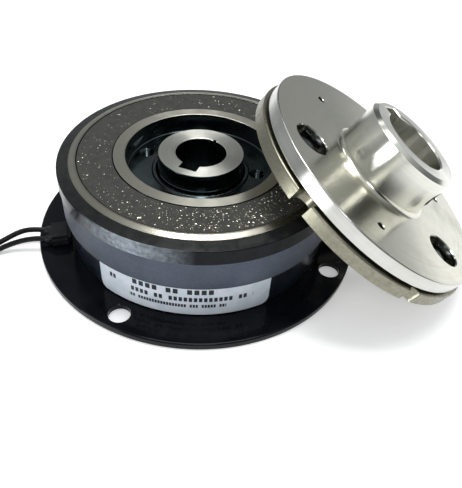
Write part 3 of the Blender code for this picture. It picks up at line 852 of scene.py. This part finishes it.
def make_tip(number, points):
    """The stripped and tinned end of the wire."""
    rows = []
    for i, point in enumerate(points):
        after = points[min(i + 1, len(points) - 1)] - points[max(i - 1, 0)]
        side = after.cross(Vector(UP)).normalized()
        up = side.cross(after).normalized()
        radius = TIP_R[0] if i < len(points) - 1 else TIP_R[1]
        rows.append([point + radius * (side * math.cos(a) + up * math.sin(a))
                     for a in (2 * math.pi * k / 12 for k in range(12))])
    shape = bmesh.new()
    prism(shape, rows)
    tip = add_shape(f"lead_tip_{number}", shape, "tin", FIELD)
    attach(tip, "stator")
    return tip


def make_tie(number, middle_y, side):
    """A flat nylon tie round all the turns, with its lock on top."""
    slack = 0.02
    low, high = 0.06, LAYER_Z[1] + LEAD_R + 0.05
    inner, outer = TURN_R[2] - LEAD_R - slack, TURN_R[0] + LEAD_R + slack
    thick, half_width, round_r = 0.14, 1.0, 0.8
    corners = ((inner + round_r, low + round_r, 180), (outer - round_r, low + round_r, 270),
               (outer - round_r, high - round_r, 0), (inner + round_r, high - round_r, 90))
    shape = bmesh.new()
    rings = []
    for r, z, start in corners:
        for k in range(7):
            out = polar(1, start + 15 * k)
            edge, inside = round_r, round_r - thick
            rings.append([shape.verts.new(Vector((r + reach * out.x, across, z + reach * out.y))
                                          * MM)
                          for reach, across in ((edge, -half_width), (edge, half_width),
                                                (inside, half_width), (inside, -half_width))])
    for here, after in zip(rings, rings[1:] + rings[:1]):
        for k in range(4):
            j = (k + 1) % 4
            shape.faces.new((here[k], here[j], after[j], after[k]))
    top = high - slack
    for half_x, half_y, z_low, z_high in ((1.7, 1.35, top, top + 0.35),
                                          (1.2, 1.0, top + 0.35, top + 0.5)):
        prism(shape, [[(TURN_R[1] + x * half_x, y * half_y, z) for x, y in
                       ((-1, -1), (1, -1), (1, 1), (-1, 1))] for z in (z_low, z_high)])
    where = FIELD @ Matrix.Translation(Vector((COIL_X, middle_y, 0)) * MM)
    where = where @ Matrix.Rotation(math.radians(side * TIE_ANGLE), 4, "Z")
    tie = add_shape(f"lead_tie_{number}", shape, "nylon", where)
    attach(tie, "stator")
    return tie


# ---- the field
def make_flange():
    _, outer, low, high = measured("mounting_flange", FIELD)
    corners = [(LOCATING_BORE_R, low, 0.15, 0), (outer, low, 0.15, 0), (outer, high, 0.45, 0),
               (LOCATING_BORE_R, high, 0.15, 0)]
    flange = add_turned("flange", corners, ["enamel"], FIELD)

    def holes(shape):
        for quarter in range(4):
            place = polar(BOLT_CIRCLE_R, BOLT_TURN + 90 * quarter, low - CUT_PAST)
            stack(shape, place, UP, flared_hole(low, high, BOLT_HOLE_R, 0.2))

    carve(flange, FIELD, holes)
    stand_for(flange, "stator", "flange_enamel", "mounting_flange")


def make_yoke():
    _, outer, low, high = measured("field_yoke", FIELD)
    bore, core, inner = LOCATING_BORE_R, YOKE_CORE_R, outer - YOKE_WALL
    floor = low + YOKE_FLOOR
    corners = [(bore, low, 0.2, 0), (outer, low, 0.2, 0), (outer, high, 0.5, 0),
               (inner, high, 0.2, 0), (inner, floor, 0.5, 0), (core, floor, 0.5, 0),
               (core, high, 0.2, 0), (bore, high, 0.2, 0)]
    yoke = add_turned("yoke", corners, ["yoke"], FIELD)

    def passage(shape):
        outside = polar(outer, GLAND_ANGLE, PASSAGE[0])
        inside = polar(inner, GLAND_ANGLE, PASSAGE[1])
        along = (outside - inside).normalized()
        length = (outside - inside).length + 2 * CUT_PAST
        stack(shape, inside - CUT_PAST * along, along, ((0, PASSAGE_R), (length, PASSAGE_R)), 32)

    carve(yoke, FIELD, passage)
    stand_for(yoke, "stator", "yoke_steel", "field_yoke")


def make_label():
    _, outer, low, high = measured("name_label", FIELD)
    inner = outer - LABEL_THICK
    start, end = LABEL_ANGLES
    corner = math.degrees(LABEL_CORNER / outer)
    stops = [start + corner * k / 8 for k in range(8)]
    stops += [start + corner + (end - start - 2 * corner) * k / 60 for k in range(61)]
    stops += [end - corner * (7 - k) / 8 for k in range(8)]
    rows = []
    for angle in stops:
        inset = corner - min(angle - start, end - angle, corner)
        lift = LABEL_CORNER * (1 - math.sqrt(max(0.0, 1 - (inset / corner) ** 2)))
        rows.append(section(angle, inner, outer, low + lift, high))
    shape = bmesh.new()
    prism(shape, rows)
    label = add_shape("label", shape, "label", FIELD)
    stand_for(label, "stator", "label_film", "name_label")


def make_gland():
    """A moulded rubber block with a raised collar round each wire."""
    low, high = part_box("lead_gland")
    middle = Vector((*GLAND, (low.z + high.z) / 2 / MM)) * MM
    turn = Matrix.Translation(middle) @ Matrix.Rotation(math.radians(180 + GLAND_ANGLE), 4, "Z")
    size = Matrix.Diagonal((GLAND_SIZE[0] * MM, GLAND_SIZE[1] * MM, high.z - low.z, 1.0))
    shape = bmesh.new()
    bmesh.ops.create_cube(shape, size=1.0, matrix=turn @ size)
    bmesh.ops.bevel(shape, geom=shape.edges[:], offset=GLAND_ROUND * MM, segments=6,
                    affect="EDGES", clamp_overlap=True)
    gland = add_shape("gland", shape, "rubber", FIELD)
    yoke_r = measured("field_yoke", FIELD)[1] + GLAND_CLEARANCE

    def clear_yoke(tool):
        stack(tool, (0, 0, 0), UP, ((0, yoke_r), (20, yoke_r)), STEPS)

    carve(gland, FIELD, clear_yoke)
    stand_for(gland, "stator", "gland_rubber", "lead_gland")
    for number, route in enumerate(LEAD_ROUTES, start=1):
        start = Vector(route[0])
        along = (Vector(route[1]) - start).normalized()
        shape = bmesh.new()
        stack(shape, start - along * COLLAR_BACK, along, COLLAR, 24)
        collar = add_shape(f"gland_collar_{number}", shape, "rubber", FIELD)
        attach(collar, "stator")


# ---- the rotor
def make_rotor():
    bore, outer, low, face = measured("rotor_body", FIELD)
    pole, shoulder, band, skirt, dark, edge = range(6)
    groove = face - LINING_DEPTH
    rim = face - SHOULDER_DROP
    lining_in, lining_out = LINING_R
    lip = RECESS_Z + LIP
    corners = [(bore, low, 0.2, dark), (SLEEVE_R, low, 0.2, dark), (SLEEVE_R, DISC_LOW, 0, dark),
               (SKIRT_INNER_R, DISC_LOW, 0, dark), (SKIRT_INNER_R, SKIRT_LOW, 0.15, skirt),
               (SKIRT_R, SKIRT_LOW, 0.3, skirt), (SKIRT_R, BAND_LOW, 0, band),
               (outer, BAND_LOW + 0.15, 0.12, band), (outer, rim, 0.3, shoulder),
               (POLE_R + 0.1, face - 0.45, 0.1, edge), (lining_out + 0.5, face, 0.1, edge),
               (lining_out, face, 0.05, dark), (lining_out, groove, 0, dark),
               (lining_in, groove, 0, dark), (lining_in, face, 0.08, pole),
               (RECESS_R, face, 0.18, dark), (RECESS_R, RECESS_Z, 0.5, dark),
               (bore + 1.5, RECESS_Z, 0.1, dark), (bore + 1.1, lip, 0.2, dark),
               (bore + 0.3, lip, 0.2, dark), (bore, RECESS_Z + 0.1, 0, dark)]
    looks = ["pole", "shoulder", "band", "skirt", "recess", "rim"]
    rotor = add_turned("rotor", corners, looks, FIELD)

    def holes(shape):
        radius, depth = PULLER_HOLE_R, PULLER_HOLE_DEPTH
        sections = [(0, radius + 0.02), *thread(0.3, 0.35, 24, radius, radius - 0.28),
                    (depth - 0.4, radius - 0.05), (depth, radius + 0.3), (depth + 3, radius + 3)]
        for away, angle in PULLER_HOLES:
            stack(shape, polar(away, angle, RECESS_Z - depth), UP, sections, look=dark)

    def flux_slots(shape):
        inner, outer = FLUX_SLOT_R
        low, high = DISC_LOW - 1, groove + 1
        for middle in FLUX_SLOTS:
            angles = [middle + FLUX_SLOT_SPAN * (k / 24 - 0.5) for k in range(25)]
            prism(shape, [section(angle, inner, outer, low, high) for angle in angles], dark)

    carve(rotor, FIELD, holes, flux_slots)
    stand_for(rotor, "rotor", "rotor_steel", "rotor_body")


def make_lining():
    """The lining's ring, with a pitted top."""
    _, outer, low, high = measured("friction_lining", FIELD)
    inner = LINING_R[0] + LINING_SIDE
    steps, across = LINING_FACETS
    shape = bmesh.new()
    rings = []
    for step in range(steps):
        angle = 360 * step / steps
        ring = [shape.verts.new(polar(inner, angle, low) * MM)]
        for k in range(across + 1):
            radius = inner + (outer - inner) * k / across
            place = polar(radius, angle)
            pit = noise.noise(place * 0.9) + 0.6 * noise.noise(place * 2.3 + Vector((7, 3, 1)))
            drop = 0.02 + 0.07 * max(0.0, pit)
            ring.append(shape.verts.new(polar(radius, angle, high - drop) * MM))
        ring.append(shape.verts.new(polar(outer, angle, low) * MM))
        rings.append(ring)
    for here, after in zip(rings, rings[1:] + rings[:1]):
        for i in range(len(here)):
            j = (i + 1) % len(here)
            shape.faces.new((here[i], after[i], after[j], here[j]))
    lining = add_shape("lining", shape, "lining", FIELD, 50)
    stand_for(lining, "rotor", "lining", "friction_lining")
    make_chips(inner, outer, high)


def make_chips(inner, outer, high):
    """The metal chips that are moulded into the lining. Most are crowded at the front right as
    painted glints.
    """
    draw = random.Random(11)
    shape = bmesh.new()
    for _ in range(CHIP_COUNT):
        radius = math.sqrt(draw.uniform((inner + 0.4) ** 2, (outer - 0.4) ** 2))
        # painted glints: this share of the chips is crowded where the lining sparkles in the light
        in_glint_cluster = draw.random() < GLINT_CLUSTER_SHARE
        angle = draw.gauss(*GLINT_CLUSTER) if in_glint_cluster else draw.uniform(0, 360)
        size = draw.choice(CHIP_SIZES)
        tilt = Vector((draw.uniform(-0.3, 0.3), draw.uniform(-0.3, 0.3), 1)).normalized()
        local = Matrix.Translation(polar(radius, angle, high - 0.03))
        local = local @ tilt.to_track_quat("Z", "Y").to_matrix().to_4x4()
        sides = draw.choice((5, 6, 7))
        reach = [size * draw.uniform(0.6, 1.2) for _ in range(sides)]
        prism(shape, [[local @ polar(reach[k] * grow, 360 * k / sides, height)
                       for k in range(sides)] for grow, height in ((1.1, -0.15), (1, 0.02))])
    chips = add_shape("lining_chips", shape, "chips", FIELD, 0)
    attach(chips, "rotor")


def make_rotor_hub():
    _, outer, low, high = measured("rotor_hub", FIELD)
    bore = ROTOR_BORE_R
    bright, dark = 0, 1
    waist = outer - 0.12
    corners = [(bore, low, 0.3, dark), (outer, low, 0.3, dark), (outer, RECESS_Z + 0.9, 0, dark),
               (waist, RECESS_Z + 1.0, 0, dark), (waist, high - 0.5, 0, dark),
               (outer - 0.3, high, 0.12, bright), (bore, high, 0.25, dark)]
    hub = add_turned("rotor_sleeve", corners, ["hub_face", "recess"], FIELD)

    def openings(shape):
        prism(shape, keyway_rows(ROTOR_KEY, bore, low, high), dark)
        stack(shape, polar(bore - 0.05, NOTCH_ANGLE, high - 1.2), UP, ((0, 0.5), (2, 0.6)), 20,
              dark)

    carve(hub, FIELD, openings)
    stand_for(hub, "rotor", "rotor_hub_steel", "rotor_hub")


# ---- the armature unit
def make_hub():
    _, plate_r, low, top = measured("armature_hub", UNIT)
    bore = HUB_BORE_R
    groove_in, groove_out = SPRING_GROOVE_R
    face, wall, rim, window = range(4)
    corners = [(bore, low, 0.5, face), (SPIGOT_R, low, 0.5, wall), (SPIGOT_R, PLATE_LOW, 0, face),
               (groove_in, PLATE_LOW, 0.1, wall), (groove_in, SPRING_GROOVE_TOP, 0, face),
               (groove_out, SPRING_GROOVE_TOP, 0, wall), (groove_out, PLATE_LOW, 0.1, face),
               (plate_r, PLATE_LOW, 0.25, rim), (plate_r, PLATE_TOP, 0.35, face),
               (BOSS_R, PLATE_TOP, BOSS_FILLET, wall), (BOSS_R, top - BOSS_EDGE, 0.15, wall),
               (BOSS_R - BOSS_CHAMFER, top, 0.15, wall), (bore, top, 0.5, wall)]
    looks = ["plate", "boss", "plate_rim", "window"]
    hub = add_turned("hub", corners, looks, UNIT, UNIT_STEPS)

    def openings(shape):
        for angle in ARMATURE_RIVETS:
            stack(shape, polar(RIVET_CIRCLE_R, angle, PLATE_LOW - CUT_PAST), UP,
                  flared_hole(PLATE_LOW, PLATE_TOP, WINDOW_R, 0.3), 72, window)
        for angle in HUB_RIVETS:
            stack(shape, polar(RIVET_CIRCLE_R, angle, 4.0), UP,
                  ((0, SHANK_HOLE_R), (3.2, SHANK_HOLE_R), (3.6, 1.15), (PLATE_TOP - 4.2, 1.15),
                   (PLATE_TOP - 4, 1.35), (PLATE_TOP - 3, 2.35)), 32, window)
        hole = [*thread(0, 0.4, 21, SCREW_HOLE_R, SCREW_HOLE_R - 0.3),
                (BOSS_R - 6.3, SCREW_HOLE_R), (BOSS_R - 5.9, SCREW_HOLE_R + 0.3), (BOSS_R, 4.0)]
        for angle in SCREW_ANGLES:
            stack(shape, polar(6.0, angle, SCREW_HEIGHT), polar(1, angle), hole, 40, window)

    def keyway(shape):
        prism(shape, keyway_rows(HUB_KEY, bore, low, top), wall)

    carve(hub, UNIT, openings, keyway)
    stand_for(hub, "hub", "hub_steel", "armature_hub")


def make_set_screws():
    """Set screws with a cup point, a thread and a hexagonal socket."""
    for number, (angle, start) in enumerate(zip(SCREW_ANGLES, SCREW_STARTS), start=1):
        along = polar(1, angle)
        length = BOSS_R - start - SCREW_SINK
        turns = thread(0.9, 0.4, int((length - 1.1) / 0.4), SCREW_R - 0.28, SCREW_R)
        sections = [(0, 1.6), (0.7, SCREW_R - 0.3), *turns,
                    (length - 0.25, SCREW_R - 0.05), (length, SCREW_R - 0.4)]
        shape = bmesh.new()
        stack(shape, polar(start, angle, SCREW_HEIGHT), along, sections, 40)
        screw = add_shape(f"grub_screw_{number}", shape, "screw", UNIT)

        def socket(tool, angle=angle, along=along):
            stack(tool, polar(BOSS_R - SOCKET_DEPTH, angle, SCREW_HEIGHT), along, SOCKET, 6)

        carve(screw, UNIT, socket)
        stand_for(screw, "hub", "screw_steel", f"set_screw_{number}")


def make_springs():
    """Flat springs, each from a hub rivet to the next armature rivet."""
    low, top = SPRING_Z
    end = math.degrees(SPRING_W / 2 / RIVET_CIRCLE_R)
    for number, start in enumerate(HUB_RIVETS, start=1):
        finish = start + SPRING_SPAN
        ends = [end * (1 - math.cos(math.pi / 2 * k / 10)) for k in range(1, 11)]
        stops = [start - end + d for d in ends]
        stops += [start + SPRING_SPAN * k / 24 for k in range(1, 24)]
        stops += [finish + end - d for d in reversed(ends)]
        rows = []
        for angle in stops:
            past = max(start - angle, angle - finish, 0) / end
            half = SPRING_W / 2 * math.sqrt(max(0.0, 1 - past * past))
            rows.append(section(angle, RIVET_CIRCLE_R - half, RIVET_CIRCLE_R + half, low, top))
        shape = bmesh.new()
        prism(shape, rows)
        spring = add_shape(f"spring_{number}", shape, "spring", UNIT)

        def holes(tool, angles=(start, finish)):
            for angle in angles:
                stack(tool, polar(RIVET_CIRCLE_R, angle, low - 1), UP,
                      ((0, SHANK_HOLE_R), (3, SHANK_HOLE_R)), 32)

        carve(spring, UNIT, holes)
        stand_for(spring, "hub", "spring_steel", f"leaf_spring_{number}")


def dome(radius, rise, steps=6):
    """Sections of a domed head: (height above its rim, radius)."""
    return [(rise * math.sin(math.pi / 2 * k / steps), radius * math.cos(math.pi / 2 * k / steps))
            for k in range(steps)] + [(rise, radius * 0.06)]


def make_rivets():
    hub_rivet = [(1.0 - z, r) for z, r in reversed(dome(2.6, 1.0))]
    hub_rivet += [(1.0, SHANK_R), (3.9, SHANK_R)]
    plate_rivet = [(0, 2.3), (0.15, 2.6), (0.6, 2.6), (0.6, SHANK_R), (4.75, SHANK_R),
                   (4.75, 3.3), (4.85, 3.4), (5.35, 3.4)]
    plate_rivet += [(5.35 + z, r) for z, r in dome(3.4, 1.25)[1:]]
    kinds = (("spring_rivet", "hub", "hub_rivet", HUB_RIVETS, 2.9, hub_rivet, 40),
             ("plate_rivet", "armature", "armature_rivet", ARMATURE_RIVETS, 0.3, plate_rivet, 48))
    for name, body, node, angles, low, sections, steps in kinds:
        for number, angle in enumerate(angles, start=1):
            shape = bmesh.new()
            stack(shape, polar(RIVET_CIRCLE_R, angle, low), UP, sections, steps)
            rivet = add_shape(f"{name}_{number}", shape, "rivet", UNIT)
            stand_for(rivet, body, "rivet_steel", f"{node}_{number}")


def make_armature():
    _, outer, low, high = measured("armature_plate", UNIT)
    inner = ARMATURE_BORE_R
    corners = [(inner, low, 0.2, 0), (outer, low, 0.25, 0), (outer, high, 0.5, 0),
               (inner, high, 0.2, 0)]
    plate = add_turned("armature_disc", corners, ["plated"], UNIT, UNIT_STEPS)

    def slot_outline(angle, grow):
        half = RIM_SLOT_W / 2 + grow
        centre = outer - RIM_SLOT_DEPTH + RIM_SLOT_W / 2
        points = [polar(centre, angle) + polar(half, angle + 90 + 180 * k / 24) for k in range(25)]
        return points + [polar(outer + 3, angle) + polar(half, angle - 90),
                         polar(outer + 3, angle) + polar(half, angle + 90)]

    def openings(shape):
        for angle in ARMATURE_RIVETS:
            stack(shape, polar(RIVET_CIRCLE_R, angle, low - 1.0), UP,
                  ((0, 4.3), (1.2, 3.1), (2.3, 3.1), (2.3, SHANK_HOLE_R), (6, SHANK_HOLE_R)), 40)
        for angle in HUB_RIVETS:
            stack(shape, polar(RIVET_CIRCLE_R, angle, low - CUT_PAST), UP,
                  flared_hole(low, high, 3.4, 0.2), 40)
        for angle in RIM_SLOTS:
            prism(shape, [[point + Vector((0, 0, z)) for point in slot_outline(angle, grow)]
                          for z, grow in ((low - 1, 1.25), (low, 0.25), (low + 0.25, 0),
                                          (high - 0.3, 0), (high, 0.3), (high + 1, 1.3))])
        stack(shape, polar(outer + 0.6, BALANCE_CUT, low - CUT_PAST), UP,
              flared_hole(low, high, BALANCE_CUT_R, 0.15), 32)

    carve(plate, UNIT, openings)
    stand_for(plate, "armature", "armature_steel", "armature_plate")


def make_inner_pieces():
    """The coil's parts keep their CAD shapes, which lie inside the yoke."""
    for node, look in (("coil_bobbin", "bobbin"), ("coil_winding", "winding"),
                       ("potting_ring", "potting")):
        NODES[node].data.materials.clear()
        NODES[node].data.materials.append(LOOKS[look])


make_camera()
make_floor()
make_world()
make_lights()
bpy.context.scene.view_settings.view_transform = "Standard"

LOOKS = {
    "enamel": enamel(),
    "yoke": oxide("yoke_finish", (12, 16, 23), (22, 29, 38), 0.3, 0.12, 0.004, 2.2, 0.3),
    "label": label_film(),
    "rubber": soft_black("gland_rubber", (16, 17, 20), 0.45, 3.0),
    "lead": soft_black("lead_pvc", (5, 5, 7), 0.38, 2.0),
    "nylon": soft_black("tie_nylon", (40, 40, 42), 0.45, 2.0),
    "tin": turned_metal("tinned_copper", (200, 198, 190), (150, 146, 136), 0.3, anisotropy=0.0),
    "bobbin": mottled("bobbin_nylon", (214, 206, 184), (190, 180, 156), 0.5, 0.0, 0.8),
    "winding": winding_look(),
    "potting": mottled("potting_resin", (34, 34, 36), (52, 50, 48), 0.55, 0.0, 0.7, 0.03),
    "pole": turned_metal("pole_steel", (200, 198, 186), (158, 156, 144), 0.3, groove=0.006,
                         anisotropy=0.7),
    "rim": turned_metal("rim_steel", (176, 174, 162), (120, 118, 108), 0.26, groove=0.006),
    "shoulder": oxide("shoulder_oxide", (24, 25, 26), (38, 39, 38), 0.2, 0.3, 0.004, 2.4, 0.15),
    "band": band_oxide(),
    "skirt": skirt_finish(),
    "recess": oxide("recess_oxide", (66, 74, 75), (90, 100, 102), 0.18, 0.1, pitch=2.0,
                    metallic=1.0),
    "lining": lining_body(),
    "chips": chip_metal(),
    "hub_face": turned_metal("hub_face", (224, 224, 216), (190, 190, 180), 0.32, groove=0.006,
                             anisotropy=0.8),
    "plate": turned_metal("plate_bright", (218, 217, 204), (186, 185, 170), 0.17, pitch=3.4,
                          groove=0.002, anisotropy=0.75, smudge=0.06, lean=TILT, contrast=0.5),
    "plate_rim": turned_metal("plate_rim", (204, 204, 199), (176, 176, 170), 0.2, pitch=3.4,
                              groove=0.003, anisotropy=0.5, smudge=0.06, lean=TILT,
                              contrast=0.6),
    "boss": turned_metal("boss_bright", (226, 226, 218), (198, 197, 188), 0.2, pitch=3.4,
                         groove=0.002, anisotropy=0.9, smudge=0.04, lean=TILT, contrast=0.5),
    "window": turned_metal("window_wall", (176, 176, 168), (132, 132, 126), 0.14, pitch=3.4,
                           anisotropy=0.0, lean=TILT),
    "screw": oxide("screw_oxide", (40, 41, 44), (70, 70, 72), 0.34, 0.6),
    "spring": turned_metal("spring_steel", (176, 176, 172), (120, 120, 116), 0.3, lean=TILT),
    # the rivets' dark tone is painted shade, for the shade inside the plate's windows that they
    # sit in
    "rivet": oxide("rivet_painted_shade", (78, 84, 86), (110, 116, 116), 0.2, 0.5, 0.002, 1.5,
                   metallic=1.0),
    "plated": mottled("armature_plating", (142, 141, 126), (124, 122, 107), 0.34, 1.0, 0.9, 0.004),
}

for number in range(1, len(LEAD_ROUTES) + 1):
    make_lead(number)
make_flange()
make_yoke()
make_label()
make_gland()
make_rotor()
make_lining()
make_rotor_hub()
make_hub()
make_set_screws()
make_springs()
make_rivets()
make_armature()
make_inner_pieces()
